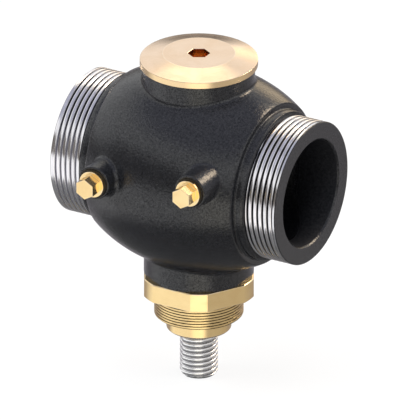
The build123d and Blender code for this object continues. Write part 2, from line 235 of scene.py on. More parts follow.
def use_group(tree, group, **values):
    """Places a shader group and feeds its inputs, whose spaces are written as underscores."""
    node = place(tree, "ShaderNodeGroup", node_tree=group)
    for name, value in values.items():
        feed(tree, node.inputs[name.replace("_", " ")], value)
    return node.outputs


# Effects that several finishes share

def make_cast_grain():
    """Sand-cast skin: fine grains over soft lumps."""
    group, given, out = new_group(
        "cast_grain",
        "ShaderNodeTree",
        [
            ("Vector", "NodeSocketVector", None),
            ("Grain Size", "NodeSocketFloat", 0.5),
            ("Lump Size", "NodeSocketFloat", 8.0),
        ],
        [("Height", "NodeSocketFloat"), ("Shade", "NodeSocketFloat")],
    )
    grain_scale = calc(group, "DIVIDE", 1000.0, given.outputs["Grain Size"])
    lump_scale = calc(group, "DIVIDE", 1000.0, given.outputs["Lump Size"])
    grain = noise(group, given.outputs["Vector"], grain_scale, 3.0, 0.6)
    lumps = noise(group, given.outputs["Vector"], lump_scale, 2.0, 0.5)
    height = calc(group, "MULTIPLY_ADD", lumps, 0.8, grain)
    group.links.new(height, out.inputs["Height"])
    group.links.new(pull(group, grain, 0.3, 0.7), out.inputs["Shade"])
    return group


def make_turned_marks():
    """Fine rings left by a lathe on faces and cylinders about the Z axis."""
    group, given, out = new_group(
        "turned_marks",
        "ShaderNodeTree",
        [
            ("Vector", "NodeSocketVector", None),
            ("Feed", "NodeSocketFloat", 0.15),
        ],
        [("Height", "NodeSocketFloat"), ("Shade", "NodeSocketFloat")],
    )
    x, y, z = split(group, given.outputs["Vector"])
    squares = calc(group, "ADD", calc(group, "MULTIPLY", x, x), calc(group, "MULTIPLY", y, y))
    joined = place(group, "ShaderNodeCombineXYZ")
    group.links.new(calc(group, "SQRT", squares), joined.inputs[0])
    group.links.new(z, joined.inputs[1])
    scale = calc(group, "DIVIDE", 1000.0, given.outputs["Feed"])
    rings = noise(group, joined.outputs[0], scale, 1.0, 0.5)
    bands = noise(group, joined.outputs[0], calc(group, "MULTIPLY", scale, 0.12), 2.0, 0.6)
    group.links.new(calc(group, "MULTIPLY_ADD", bands, 0.6, rings), out.inputs["Height"])
    group.links.new(pull(group, bands, 0.35, 0.65), out.inputs["Shade"])
    return group


def make_lit_rubbed_edges():
    """Rubbed edges with a painted highlight, broken up by noise."""
    group, given, out = new_group(
        "edge_wear",
        "ShaderNodeTree",
        [
            ("Vector", "NodeSocketVector", None),
            ("Edge", "NodeSocketFloat", 0.0),
            ("Break Size", "NodeSocketFloat", 1.0),
            ("Amount", "NodeSocketFloat", 1.0),
        ],
        [("Mask", "NodeSocketFloat")],
    )
    scale = calc(group, "DIVIDE", 1000.0, given.outputs["Break Size"])
    patches = pull(group, noise(group, given.outputs["Vector"], scale, 3.0, 0.6), 0.35, 0.62)
    rubbed_and_lit = calc(group, "MULTIPLY", given.outputs["Edge"], patches)
    group.links.new(calc(group, "MULTIPLY", rubbed_and_lit, given.outputs["Amount"]), out.inputs["Mask"])
    return group


def make_handling_film():
    """Soft patches where hands and oil changed the gloss."""
    group, given, out = new_group(
        "handling_film",
        "ShaderNodeTree",
        [
            ("Vector", "NodeSocketVector", None),
            ("Patch Size", "NodeSocketFloat", 12.0),
        ],
        [("Mask", "NodeSocketFloat")],
    )
    scale = calc(group, "DIVIDE", 1000.0, given.outputs["Patch Size"])
    patches = noise(group, given.outputs["Vector"], scale, 3.0, 0.55, 0.4)
    group.links.new(pull(group, patches, 0.35, 0.65), out.inputs["Mask"])
    return group


cast_grain = make_cast_grain()
turned_marks = make_turned_marks()
edge_wear = make_lit_rubbed_edges()
handling_film = make_handling_film()


# Finishes

def start_finish(name):
    """A new material: its tree, its shader and the place on the piece."""
    finish = bpy.data.materials.new(name)
    finish.use_nodes = True
    tree = finish.node_tree
    shader = tree.nodes["Principled BSDF"]
    where = tree.nodes.new("ShaderNodeTexCoord").outputs["Object"]
    return finish, tree, shader, where


paint_dark = (0.004, 0.0045, 0.006, 1)
paint_light = (0.016, 0.0165, 0.019, 1)
# Rubbed edge colour, partly painted highlight
lit_rubbed_brass = (0.95, 0.80, 0.60, 1)
film_tint = (0.90, 0.84, 0.76)
colour_fade = 0.1 * MM
# Heights over which the painted groove shade gets darker
upper_shade_start = 10.0 * MM
upper_shade_full = 25.0 * MM
stem_axis = (stem_x, 0, 0)
upright_turn = (0.0, 0.0, 0.0)
turn_to_x = (0.0, pi / 2, 0.0)
turn_to_y = (pi / 2, 0.0, 0.0)


def about(tree, where, centre, turn=upright_turn):
    """The place on the piece, measured from a centre."""
    node = place(tree, "ShaderNodeMapping", vector_type="TEXTURE")
    feed(tree, node.inputs["Vector"], where)
    node.inputs["Location"].default_value = centre
    node.inputs["Rotation"].default_value = turn
    return node.outputs[0]


def attribute(tree, name):
    """A value that the mesh carries."""
    return place(tree, "ShaderNodeAttribute", attribute_name=name).outputs["Fac"]


def set_bump(tree, shader, height, strength, distance):
    """Feeds a height into the shader's normal."""
    node = place(tree, "ShaderNodeBump")
    node.inputs["Strength"].default_value = strength
    node.inputs["Distance"].default_value = distance
    feed(tree, node.inputs["Height"], height)
    tree.links.new(node.outputs[0], shader.inputs["Normal"])


def black_casting():
    """Black paint on a sand casting, thin and dull inside the port bores."""
    finish, tree, shader, where = start_finish("black_casting")
    skin = use_group(tree, cast_grain, Vector=where, Grain_Size=0.9, Lump_Size=9.0)
    film = use_group(tree, handling_film, Vector=where, Patch_Size=18.0)["Mask"]
    from_pipe = work_on(tree, "LENGTH", work_on(tree, "MULTIPLY", where, (0, 1, 1)))
    from_stem = calc(tree, "ABSOLUTE", split(tree, about(tree, where, stem_axis))[0])
    beyond_bore = pull(tree, from_pipe, port_bore, port_bore + port_bore_fade)
    in_chamber = pull(tree, from_stem, chamber_end - chamber_fade, chamber_end, 1.0, 0.0)
    outside = calc(tree, "MAXIMUM", beyond_bore, in_chamber)
    paint = blend_colour(tree, skin["Shade"], paint_dark, paint_light)
    feed(tree, shader.inputs["Base Color"], paint)
    rough = pull(tree, film, 0.0, 1.0, 0.07, 0.11)
    feed(tree, shader.inputs["Roughness"], pull(tree, outside, 0.0, 1.0, 0.6, rough))
    fleck = pull(tree, noise(tree, where, 1700.0, 2.0, 0.6), 0.35, 0.65, 0.25, 0.75)
    feed(tree, shader.inputs["Specular IOR Level"], pull(tree, outside, 0.0, 1.0, 0.08, fleck))
    set_bump(tree, shader, skin["Height"], 1.0, 0.00013)
    return finish


def thread_metal(
    name, crest_colour, groove_shade_colour, gloss, turn=upright_turn, upper_shade_colour=None, flank=(0.12, 0.60)
):
    """Machined thread: bright crests over grooves with painted shade, which may have another painted shade
    higher up.
    """
    finish, tree, shader, where = start_finish(name)
    local = about(tree, where, stem_axis, turn)
    marks = use_group(tree, turned_marks, Vector=local, Feed=0.12)
    film = use_group(tree, handling_film, Vector=where, Patch_Size=7.0)["Mask"]
    # Painted shade: the groove share darkens the grooves and, past the flank range, their flanks; it also
    # roughens them
    groove = pull(tree, attribute(tree, "groove"), *flank)
    # Painted shade: grooves darker higher up
    if upper_shade_colour:
        upper = pull(tree, split(tree, where)[2], upper_shade_start, upper_shade_full)
        groove_shade_colour = blend_colour(tree, upper, groove_shade_colour, upper_shade_colour)
    colour = blend_colour(tree, groove, crest_colour, groove_shade_colour)
    colour = blend_colour(tree, calc(tree, "MULTIPLY", film, 0.22), colour, groove_shade_colour)
    feed(tree, shader.inputs["Base Color"], colour)
    shader.inputs["Metallic"].default_value = 1.0
    rough = pull(tree, marks["Shade"], 0.0, 1.0, gloss, gloss + 0.10)
    feed(tree, shader.inputs["Roughness"], calc(tree, "MULTIPLY_ADD", groove, 0.25, rough))
    set_bump(tree, shader, marks["Height"], 0.25, 0.00002)
    return finish


def brass(name, centre, colour, gloss, turn=upright_turn, side=None, socket=None):
    """Turned brass: fine rings, rubbed edges with a painted highlight, and a faint film.

    A side is (height, colour), a painted reflection tint for all below that height; a socket is (reach,
    height, colour), painted shade in a hole.
    """
    finish, tree, shader, where = start_finish(name)
    local = about(tree, where, centre, turn)
    marks = use_group(tree, turned_marks, Vector=local, Feed=0.16)
    film = use_group(tree, handling_film, Vector=where, Patch_Size=9.0)["Mask"]
    # Rubbed edges with a painted highlight
    rubbed_and_lit = use_group(tree, edge_wear, Vector=where, Edge=attribute(tree, "edge"), Break_Size=2.5, Amount=0.8)
    deeper = tuple(share * channel for share, channel in zip(film_tint, colour)) + (1,)
    shade = blend_colour(tree, calc(tree, "MULTIPLY", film, 0.5), colour, deeper)
    shade = blend_colour(tree, rubbed_and_lit["Mask"], shade, lit_rubbed_brass)
    # Painted reflection: another tint below a height
    if side:
        height, side_reflection_tint = side
        below = pull(tree, split(tree, local)[2], height, height + colour_fade, 1.0, 0.0)
        shade = blend_colour(tree, below, shade, side_reflection_tint)
    # Painted shade inside a socket
    if socket:
        reach, height, socket_shade_colour = socket
        x, y, z = split(tree, local)
        across = calc(tree, "MAXIMUM", calc(tree, "ABSOLUTE", x), calc(tree, "ABSOLUTE", y))
        within = calc(tree, "LESS_THAN", across, reach)
        inside = calc(tree, "MULTIPLY", within, calc(tree, "LESS_THAN", z, height))
        shade = blend_colour(tree, inside, shade, socket_shade_colour)
    feed(tree, shader.inputs["Base Color"], shade)
    shader.inputs["Metallic"].default_value = 1.0
    rough = pull(tree, marks["Shade"], 0.0, 1.0, gloss, gloss + 0.08)
    feed(tree, shader.inputs["Roughness"], calc(tree, "MULTIPLY_ADD", film, 0.06, rough))
    set_bump(tree, shader, marks["Height"], 0.15, 0.00001)
    return finish


def plain_steel(name, colour, gloss):
    """Stainless steel, turned about the stem."""
    finish, tree, shader, where = start_finish(name)
    local = about(tree, where, stem_axis)
    marks = use_group(tree, turned_marks, Vector=local, Feed=0.14)
    film = use_group(tree, handling_film, Vector=where, Patch_Size=6.0)["Mask"]
    dull = tuple(0.8 * channel for channel in colour[:3]) + (1,)
    feed(tree, shader.inputs["Base Color"], blend_colour(tree, film, colour, dull))
    shader.inputs["Metallic"].default_value = 1.0
    feed(tree, shader.inputs["Roughness"], pull(tree, marks["Shade"], 0.0, 1.0, gloss, gloss + 0.1))
    set_bump(tree, shader, marks["Height"], 0.25, 0.00002)
    return finish


def soft_piece(name, dark, light, rough):
    """Moulded rubber or pressed packing, with a fine mottled skin."""
    finish, tree, shader, where = start_finish(name)
    skin = use_group(tree, cast_grain, Vector=where, Grain_Size=0.35, Lump_Size=4.0)
    feed(tree, shader.inputs["Base Color"], blend_colour(tree, skin["Shade"], dark, light))
    feed(tree, shader.inputs["Roughness"], pull(tree, skin["Shade"], 0.0, 1.0, rough, rough + 0.12))
    set_bump(tree, shader, skin["Height"], 0.3, 0.00003)
    return finish


silver = (0.93, 0.92, 0.95, 1)
bright_silver = (0.97, 0.97, 0.98, 1)
# Painted shade for thread grooves
dark_groove_shade = (0.02, 0.019, 0.02, 1)
grey_groove_shade = (0.62, 0.62, 0.66, 1)
steel_groove_shade = (0.52, 0.52, 0.53, 1)
brown_groove_shade = (0.05, 0.028, 0.012, 1)
rosy_brass = (0.90, 0.70, 0.52, 1)
# Painted reflection tint for the plug's rim side
rim_reflection_tint = (0.92, 0.69, 0.40, 1)
bonnet_brass = (0.97, 0.74, 0.38, 1)
test_brass = (1.0, 0.76, 0.40, 1)
thread_brass = (0.95, 0.70, 0.34, 1)
# Painted shade inside the plug's key socket
socket_shade_brown = (0.66, 0.38, 0.17, 1)

polish = 0.12
# Below this height the plug gets its painted reflection tint
side_height = top_face + plug_rim_height - colour_fade
socket_reach = key_flats / 2 + 1.0 * MM
socket_height = plug_high.z - colour_fade

cast_finish = black_casting()
# Thread finishes with painted shade in their grooves
outlet_finish = thread_metal("cut_outlet_thread", silver, dark_groove_shade, polish, turn_to_x)
# The inlet's grooves get darker painted shade higher up
inlet_finish = thread_metal("cut_inlet_thread", silver, grey_groove_shade, polish, turn_to_x, dark_groove_shade)
stem_thread_finish = thread_metal("rolled_stem_thread", bright_silver, steel_groove_shade, polish)
plug_finish = brass(
    "turned_plug_brass",
    stem_axis,
    rosy_brass,
    polish,
    side=(side_height, rim_reflection_tint),
    socket=(socket_reach, socket_height, socket_shade_brown),
)
bonnet_finish = brass("turned_bonnet_brass", stem_axis, bonnet_brass, 0.10)
# The brass thread's flanks get painted shade too
brass_thread_finish = thread_metal("cut_brass_thread", thread_brass, brown_groove_shade, 0.20, flank=(0.01, 0.15))
stainless_finish = plain_steel("turned_stainless", (0.62, 0.61, 0.60, 1), 0.22)
rubber_finish = soft_piece("seal_rubber_skin", (0.012, 0.012, 0.013, 1), (0.026, 0.026, 0.027, 1), 0.55)
packing_finish = soft_piece("pressed_packing", (0.62, 0.61, 0.57, 1), (0.78, 0.77, 0.73, 1), 0.45)


# Meshes

def add_piece(name, mesh, finish, body, slot, *nodes):
    """Puts a finished mesh in the scene, on its body and in place of its CAD nodes."""
    piece = bpy.data.objects.new(name, mesh)
    bpy.context.scene.collection.objects.link(piece)
    mesh.materials.clear()
    mesh.materials.append(finish)
    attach(piece, body)
    if nodes:
        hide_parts(*nodes)
    return piece


def smooth(mesh, angle=32.0):
    """Smooth shading, with the edges sharper than the angle left crisp."""
    for face in mesh.polygons:
        face.use_smooth = True
    mesh.set_sharp_from_angle(angle=radians(angle))


def rounded(corners, radius, steps=3):
    """An outline with each corner rounded and held by two support points, as (radius, height, edge)."""
    points = []
    last = len(corners) - 1
    for index, (along, height) in enumerate(corners):
        here = Vector((along, height))
        if index in (0, last):
            points.append((along, height, 0.0))
            continue
        before = Vector(corners[index - 1]) - here
        after = Vector(corners[index + 1]) - here
        reach = min(radius, 0.3 * before.length, 0.3 * after.length)
        first = here + before.normalized() * reach
        final = here + after.normalized() * reach
        early = here + before.normalized() * 2 * reach
        late = here + after.normalized() * 2 * reach
        if index > 1 or before.length > 3 * reach:
            points.append((early.x, early.y, 0.0))
        for step in range(steps + 1):
            share = step / steps
            spot = (1 - share) ** 2 * first + 2 * share * (1 - share) * here + share**2 * final
            points.append((spot.x, spot.y, 1.0))
        points.append((late.x, late.y, 0.0))
    return points


def polar_mesh(name, angles, column, placing):
    """A closed mesh from a column of (radius, height, edge) points at each angle."""
    work = bmesh.new()
    edge_layer = work.verts.layers.float.new("edge")
    columns = [column(angle) for angle in angles]
    count = len(columns[0])
    rows = []
    for index in range(count):
        radius, height, edge = columns[0][index]
        if radius == 0.0:
            vertex = work.verts.new((0.0, 0.0, height))
            rows.append([vertex] * len(angles))
            continue
        row = []
        for angle, points in zip(angles, columns):
            radius, height, edge = points[index]
            vertex = work.verts.new((radius * cos(angle), radius * sin(angle), height))
            vertex[edge_layer] = edge
            row.append(vertex)
        rows.append(row)
    closed = rows[0][0] is not rows[0][-1]
    pairs = list(zip(rows, rows[1:]))
    if closed:
        pairs.append((rows[-1], rows[0]))
    for lower, upper in pairs:
        for index in range(len(angles)):
            following = (index + 1) % len(angles)
            corners = [lower[index], lower[following], upper[following], upper[index]]
            unique = list(dict.fromkeys(corners))
            if len(unique) > 2:
                work.faces.new(unique)
    bmesh.ops.remove_doubles(work, verts=work.verts, dist=1e-7)
    bmesh.ops.recalc_face_normals(work, faces=work.faces)
    work.transform(placing)
    mesh = bpy.data.meshes.new(name)
    work.to_mesh(mesh)
    work.free()
    smooth(mesh)
    return mesh


def join_meshes(mesh, other):
    """Adds the faces of another mesh to a mesh."""
    work = bmesh.new()
    work.from_mesh(mesh)
    work.from_mesh(other)
    work.to_mesh(mesh)
    work.free()
    bpy.data.meshes.remove(other)
    smooth(mesh, 50.0)


def even_angles(count):
    """Angles round a full turn."""
    return [2 * pi * index / count for index in range(count)]


def turned_mesh(name, corners, radius, placing, count=144):
    """A turned piece from its (radius, height) outline."""
    points = rounded(corners, radius)
    return polar_mesh(name, even_angles(count), lambda angle: points, placing)


def hex_reach(angle, across_flats, turn=0.0):
    """How far a hexagon reaches at an angle."""
    sector = (angle - turn + pi / 6) % (pi / 3) - pi / 6
    return across_flats / 2 / cos(sector)


def hex_angles(across_flats, turned_radius, turn=0.0, count=120):
    """Even angles, with more where the flats meet each other or the turned corners."""
    corner = pi / 6
    if turned_radius < across_flats / 2 / cos(corner):
        corner = pi / 2 - atan2(across_flats / 2, (turned_radius**2 - (across_flats / 2) ** 2) ** 0.5)
    found = even_angles(count)
    nudge = radians(0.6)
    for side in range(6):
        middle = turn + side * pi / 3
        for way in (-1, 1):
            for shift in (-nudge, 0.0, nudge):
                found.append((middle + way * corner + shift) % (2 * pi))
    found = sorted(found)
    return [angle for index, angle in enumerate(found) if index == 0 or angle - found[index - 1] > 1e-4]


# Threads, made by one geometry tree

def make_thread_tree():
    """A screw thread about X: a closed sleeve whose outside follows a helix."""
    tree, given, out = new_group(
        "screw_thread",
        "GeometryNodeTree",
        [
            ("Crest Radius", "NodeSocketFloat", 10 * MM),
            ("Depth", "NodeSocketFloat", 1 * MM),
            ("Pitch", "NodeSocketFloat", 2 * MM),
            ("Length", "NodeSocketFloat", 10 * MM),
            ("Core Radius", "NodeSocketFloat", 8 * MM),
            ("Crest Share", "NodeSocketFloat", 0.4),
            ("Crown", "NodeSocketFloat", 0.0),
            ("Lead In", "NodeSocketFloat", 1 * MM),
            ("Lead Out", "NodeSocketFloat", 1 * MM),
            ("End Drop", "NodeSocketFloat", 1 * MM),
            ("Plain End", "NodeSocketFloat", 0.0),
            ("Around", "NodeSocketInt", 192),
            ("Along", "NodeSocketInt", 120),
            ("Finish", "NodeSocketMaterial", None),
        ],
        [("Geometry", "NodeSocketGeometry")],
    )
    value = given.outputs
    grid = place(tree, "GeometryNodeMeshGrid")
    around = calc(tree, "ADD", value["Around"], 1.0)
    rows = calc(tree, "ADD", value["Along"], 4.0)
    feed(tree, grid.inputs["Vertices X"], around)
    feed(tree, grid.inputs["Vertices Y"], rows)
    column_share, row_share = split(tree, place(tree, "GeometryNodeInputPosition").outputs[0])[:2]
    turn = calc(tree, "MULTIPLY", calc(tree, "ADD", column_share, 0.5), 2 * pi)
    last_row = calc(tree, "SUBTRACT", rows, 1.0)
    row = calc(tree, "ROUND", calc(tree, "MULTIPLY", calc(tree, "ADD", row_share, 0.5), last_row))
    share = pull(tree, row, 1.0, calc(tree, "SUBTRACT", last_row, 2.0))
    closing = calc(tree, "GREATER_THAN", row, calc(tree, "SUBTRACT", last_row, 0.5))
    along = calc(tree, "MULTIPLY", share, value["Length"])
    along = calc(tree, "MULTIPLY", along, calc(tree, "SUBTRACT", 1.0, closing))
    on_core = calc(
        tree,
        "MAXIMUM",
        calc(tree, "LESS_THAN", row, 0.5),
        calc(tree, "GREATER_THAN", row, calc(tree, "SUBTRACT", last_row, 1.5)),
    )
    turns = calc(tree, "DIVIDE", along, value["Pitch"])
    turns = calc(tree, "SUBTRACT", turns, calc(tree, "DIVIDE", turn, 2 * pi))
    phase = calc(tree, "FRACT", turns)
    from_crest = calc(tree, "MULTIPLY", calc(tree, "ABSOLUTE", calc(tree, "SUBTRACT", phase, 0.5)), 2.0)
    groove = pull(tree, from_crest, value["Crest Share"], 0.97, 0.0, 1.0, "SMOOTHSTEP")
    to_end = calc(tree, "SUBTRACT", value["Length"], along)
    fade_start = calc(tree, "SUBTRACT", value["Plain End"], 0.3 * MM)
    groove = calc(tree, "MULTIPLY", groove, pull(tree, to_end, fade_start, value["Plain End"]))
    crest_square = calc(tree, "MULTIPLY", value["Crest Share"], value["Crest Share"])
    crown = pull(tree, calc(tree, "MULTIPLY", from_crest, from_crest), 0.0, crest_square)
    crown = calc(tree, "MULTIPLY", crown, value["Crown"])
    crown = calc(tree, "MULTIPLY", crown, pull(tree, to_end, fade_start, value["Plain End"]))
    rise = calc(tree, "MULTIPLY_ADD", groove, calc(tree, "SUBTRACT", value["Depth"], value["Crown"]), crown)
    threaded = calc(tree, "SUBTRACT", value["Crest Radius"], rise)
    root = calc(tree, "SUBTRACT", value["Crest Radius"], value["Depth"])
    slope = calc(tree, "DIVIDE", value["Depth"], value["Lead In"])
    near = calc(tree, "MULTIPLY_ADD", along, slope, root)
    end_radius = calc(tree, "SUBTRACT", value["Crest Radius"], value["End Drop"])
    end_slope = calc(tree, "DIVIDE", value["End Drop"], value["Lead Out"])
    far = calc(tree, "MULTIPLY_ADD", to_end, end_slope, end_radius)
    radius = calc(tree, "MINIMUM", calc(tree, "MINIMUM", threaded, near), far)
    to_core = calc(tree, "MULTIPLY", on_core, calc(tree, "SUBTRACT", value["Core Radius"], radius))
    radius = calc(tree, "ADD", radius, to_core)
    joined = place(tree, "ShaderNodeCombineXYZ")
    feed(tree, joined.inputs[0], along)
    feed(tree, joined.inputs[1], calc(tree, "MULTIPLY", radius, calc(tree, "COSINE", turn)))
    feed(tree, joined.inputs[2], calc(tree, "MULTIPLY", radius, calc(tree, "SINE", turn)))
    keep = place(tree, "GeometryNodeStoreNamedAttribute", data_type="FLOAT", domain="POINT")
    tree.links.new(grid.outputs["Mesh"], keep.inputs["Geometry"])
    keep.inputs["Name"].default_value = "groove"
    feed(tree, keep.inputs["Value"], groove)
    shape = place(tree, "GeometryNodeSetPosition")
    tree.links.new(keep.outputs[0], shape.inputs["Geometry"])
    feed(tree, shape.inputs["Position"], joined.outputs[0])
    weld = place(tree, "GeometryNodeMergeByDistance")
    tree.links.new(shape.outputs[0], weld.inputs["Geometry"])
    weld.inputs["Distance"].default_value = 1e-6
    real = place(tree, "GeometryNodeRealizeInstances")
    tree.links.new(weld.outputs[0], real.inputs[0])
    dress = place(tree, "GeometryNodeSetMaterial")
    tree.links.new(real.outputs[0], dress.inputs["Geometry"])
    feed(tree, dress.inputs["Material"], value["Finish"])
    tree.links.new(dress.outputs[0], out.inputs[0])
    return tree


thread_tree = make_thread_tree()


def thread_mesh(name, placing, finish, **sizes):
    """Runs the thread tree with its sizes and gives the result as a plain mesh."""
    carrier = bpy.data.objects.new(name + "_carrier", bpy.data.meshes.new(name + "_carrier"))
    bpy.context.scene.collection.objects.link(carrier)
    modifier = carrier.modifiers.new("thread", "NODES")
    modifier.node_group = thread_tree
    sizes["Finish"] = finish
    for item in thread_tree.interface.items_tree:
        label = item.name.replace(" ", "_")
        if item.in_out == "INPUT" and label in sizes:
            modifier[item.identifier] = sizes[label]
    bpy.context.view_layer.update()
    graph = bpy.context.evaluated_depsgraph_get()
    mesh = bpy.data.meshes.new_from_object(carrier.evaluated_get(graph))
    carrier.modifiers.clear()
    bpy.data.objects.remove(carrier)
    mesh.name = name
    work = bmesh.new()
    work.from_mesh(mesh)
    bmesh.ops.recalc_face_normals(work, faces=work.faces)
    work.transform(placing)
    work.to_mesh(mesh)
    work.free()
    smooth(mesh, 50.0)
    return mesh


# Placings: each turns +X or +Z of a mesh to where the piece points

def facing_x(start, way):
    """The thread runs along X from start, forwards or backwards."""
    turn = Matrix.Identity(4) if way > 0 else Matrix.Rotation(pi, 4, "Z")
    return Matrix.Translation((start, 0, 0)) @ turn


def facing_down(level):
    """The thread runs down the stem's axis from a level."""
    return Matrix.Translation((stem_x, 0, level)) @ Matrix.Rotation(pi / 2, 4, "Y")


def upright(level=0.0):
    """The outline's heights are levels on the stem's axis."""
    return Matrix.Translation((stem_x, 0, level))


def facing_front(x, y, z):
    """The outline's heights point towards the viewer, along -Y."""
    return Matrix.Translation((x, y, z)) @ Matrix.Rotation(pi / 2, 4, "X")


# Casting and port threads

def casting_mesh():
    """The CAD body's mesh, merged, with its port threads turned down to a plain core."""
    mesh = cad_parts["valve_body"].data.copy()
    work = bmesh.new()
    work.from_mesh(mesh)
    bmesh.ops.remove_doubles(work, verts=work.verts, dist=1e-6)
    slack = 0.1 * MM
    behind_rim = 0.02 * MM
    threaded = port_thread_length + port_end_chamfer + slack
    last_groove = port_end_chamfer + port_end_crest - slack
    for vertex in work.verts:
        spot = vertex.co
        to_end = min(outlet_x - spot.x, spot.x - inlet_x)
        radius = hypot(spot.y, spot.z)
        if port_end_chamfer + behind_rim < to_end < threaded and radius > port_core:
            spot.y *= port_core / radius
            spot.z *= port_core / radius
            if last_groove < to_end < last_groove + 2 * slack:
                outward = 1 if spot.x > stem_x else -1
                spot.x += outward * (to_end - port_end_chamfer - behind_rim)
    bmesh.ops.remove_doubles(work, verts=work.verts, dist=1e-6)
    bmesh.ops.dissolve_degenerate(work, edges=work.edges, dist=1e-6)
    work.to_mesh(mesh)
    work.free()
    mesh.name = "casting"
    smooth(mesh, 28.0)
    return mesh


add_piece("casting", casting_mesh(), cast_finish, "housing", "cast_iron", "valve_body")
port_sizes = dict(
    Crest_Radius=port_crest,
    Depth=port_depth,
    Pitch=port_pitch,
    Length=port_thread_length,
    Core_Radius=port_core - 0.02 * MM,
    Crest_Share=0.48,
    Crown=0.09 * MM,
    Lead_In=0.25 * MM,
    Lead_Out=0.3 * MM,
    End_Drop=0.0,
    Plain_End=1.1 * MM,
    Around=180,
    Along=126,
)
for port_name, end_x, way, port_finish in (
    ("outlet", outlet_x, 1, outlet_finish),
    ("inlet", inlet_x, -1, inlet_finish),
):
    placing = facing_x(end_x - way * (port_thread_length + port_end_chamfer), way)
    mesh = thread_mesh(port_name + "_port_thread", placing, port_finish, **port_sizes)
    add_piece(port_name + "_port_thread", mesh, port_finish, "housing", "bright_steel")


# Closing plug

def plug_column(angle):
    """Outline of the closing plug at an angle, from the key socket's floor to the cup inside."""
    top = plug_high.z
    socket = hex_reach(angle, key_flats)
    floor = top - key_depth
    shank_end = plug_low.z
    roof = floor - plug_cup_roof
    corners = [
        (0.0, floor - key_point),
        (socket, floor),
        (socket, top - key_mouth),
        (socket + key_mouth, top),
        (plug_flat, top),
        (plug_rim, top_face + plug_rim_height),
        (plug_rim, top_face),
        (plug_relief, top_face),
        (plug_relief, top_face - plug_relief_depth),
        (plug_shank, top_face - plug_relief_depth),
        (plug_shank, shank_end),
        (plug_cup, shank_end),
        (plug_cup, roof),
        (0.0, roof),
    ]
    return rounded(corners, plug_edge)


plug_angles = hex_angles(key_flats, plug_rim, count=144)
plug_mesh = polar_mesh("closing_plug", plug_angles, plug_column, upright())
add_piece("closing_plug", plug_mesh, plug_finish, "housing", "brass", "top_plug")


# Test plugs

def test_column(angle):
    """Outline of a test plug at an angle, from its shank to its six-sided head."""
    across = hex_reach(angle, test_flats)
    head_top = test_flange_height + test_head_height
    corners = [
        (0.0, -test_shank_length),
        (test_shank, -test_shank_length),
        (test_shank, 0.0),
        (test_flange, 0.0),
        (test_flange, test_flange_height),
        (across, test_flange_height),
        (across, head_top),
        (0.0, head_top),
    ]
    return rounded(corners, test_edge)


test_angles = hex_angles(test_flats, test_flange, count=96)
for test_name in ("inlet_test_plug", "outlet_test_plug"):
    low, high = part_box(test_name)
    seat_y = high.y - test_shank_length
    placing = facing_front((low.x + high.x) / 2, seat_y, (low.z + high.z) / 2)
    test_finish = brass("brass_of_" + test_name, placing.translation, test_brass, polish, turn_to_y)
    mesh = polar_mesh(test_name + "_turned", test_angles, test_column, placing)
    add_piece(test_name + "_turned", mesh, test_finish, "housing", "brass", test_name)


# Bonnet

bonnet_flange_top = neck_face
bonnet_flange_end = neck_face - bonnet_flange_height
actuator_top = bonnet_flange_end - actuator_relief_width


def bonnet_column(angle):
    """Outline of the bonnet at an angle: shank, six-sided flange with turned corners, and neck."""
    across = min(hex_reach(angle, bonnet_flats, pi / 6), bonnet_turned)
    nose_base = bonnet_flange_top + bonnet_nose_base
    relief_end = bonnet_flange_top + bonnet_relief_width
    roof = bonnet_high.z - bonnet_roof
    corners = [
        (bonnet_bore, bonnet_high.z),
        (bonnet_nose, bonnet_high.z),
        (bonnet_nose, nose_base),
        (bonnet_shank, nose_base),
        (bonnet_shank, relief_end),
        (bonnet_relief, relief_end),
        (bonnet_relief, bonnet_flange_top),
        (across - bonnet_chamfer, bonnet_flange_top),
        (across, bonnet_flange_top - bonnet_chamfer),
        (across, bonnet_flange_end),
        (actuator_relief, bonnet_flange_end),
        (actuator_relief, actuator_top),
        (actuator_core, actuator_top),
        (actuator_core, bonnet_low.z),
        (bonnet_recess, bonnet_low.z),
        (bonnet_recess, roof),
        (bonnet_bore, roof),
    ]
    return rounded(corners, bonnet_edge)


bonnet_angles = hex_angles(bonnet_flats, bonnet_turned, pi / 6, 144)
bonnet_mesh = polar_mesh("bonnet_turned", bonnet_angles, bonnet_column, upright())
add_piece("bonnet_turned", bonnet_mesh, bonnet_finish, "housing", "brass", "bonnet")
actuator_mesh = thread_mesh(
    "actuator_thread_cut",
    facing_down(actuator_top),
    brass_thread_finish,
    Crest_Radius=actuator_crest,
    Depth=actuator_depth,
    Pitch=actuator_pitch,
    Length=actuator_top - bonnet_low.z,
    Core_Radius=actuator_core - 0.05 * MM,
    Crest_Share=0.66,
    Lead_In=0.35 * MM,
    Lead_Out=0.5 * MM,
    End_Drop=actuator_depth,
    Around=144,
    Along=126,
)
add_piece("actuator_thread_cut", actuator_mesh, brass_thread_finish, "housing", "brass")


# Gland nut

gland_corners = [
    (gland_bore, gland_high.z),
    (gland_nose, gland_high.z),
    (gland_shank, gland_high.z - gland_cone_height),
    (gland_shank, bonnet_low.z),
    (gland_collar, bonnet_low.z),
    (gland_collar, gland_low.z + gland_chamfer),
    (gland_collar - gland_chamfer, gland_low.z),
    (gland_recess, gland_low.z),
    (gland_recess, gland_high.z - gland_recess_roof),
    (gland_bore, gland_high.z - gland_bore_roof),
]
gland_mesh = turned_mesh("gland_turned", gland_corners, gland_edge, upright())
add_piece("gland_turned", gland_mesh, bonnet_finish, "housing", "brass", "gland_nut")


# Stem head

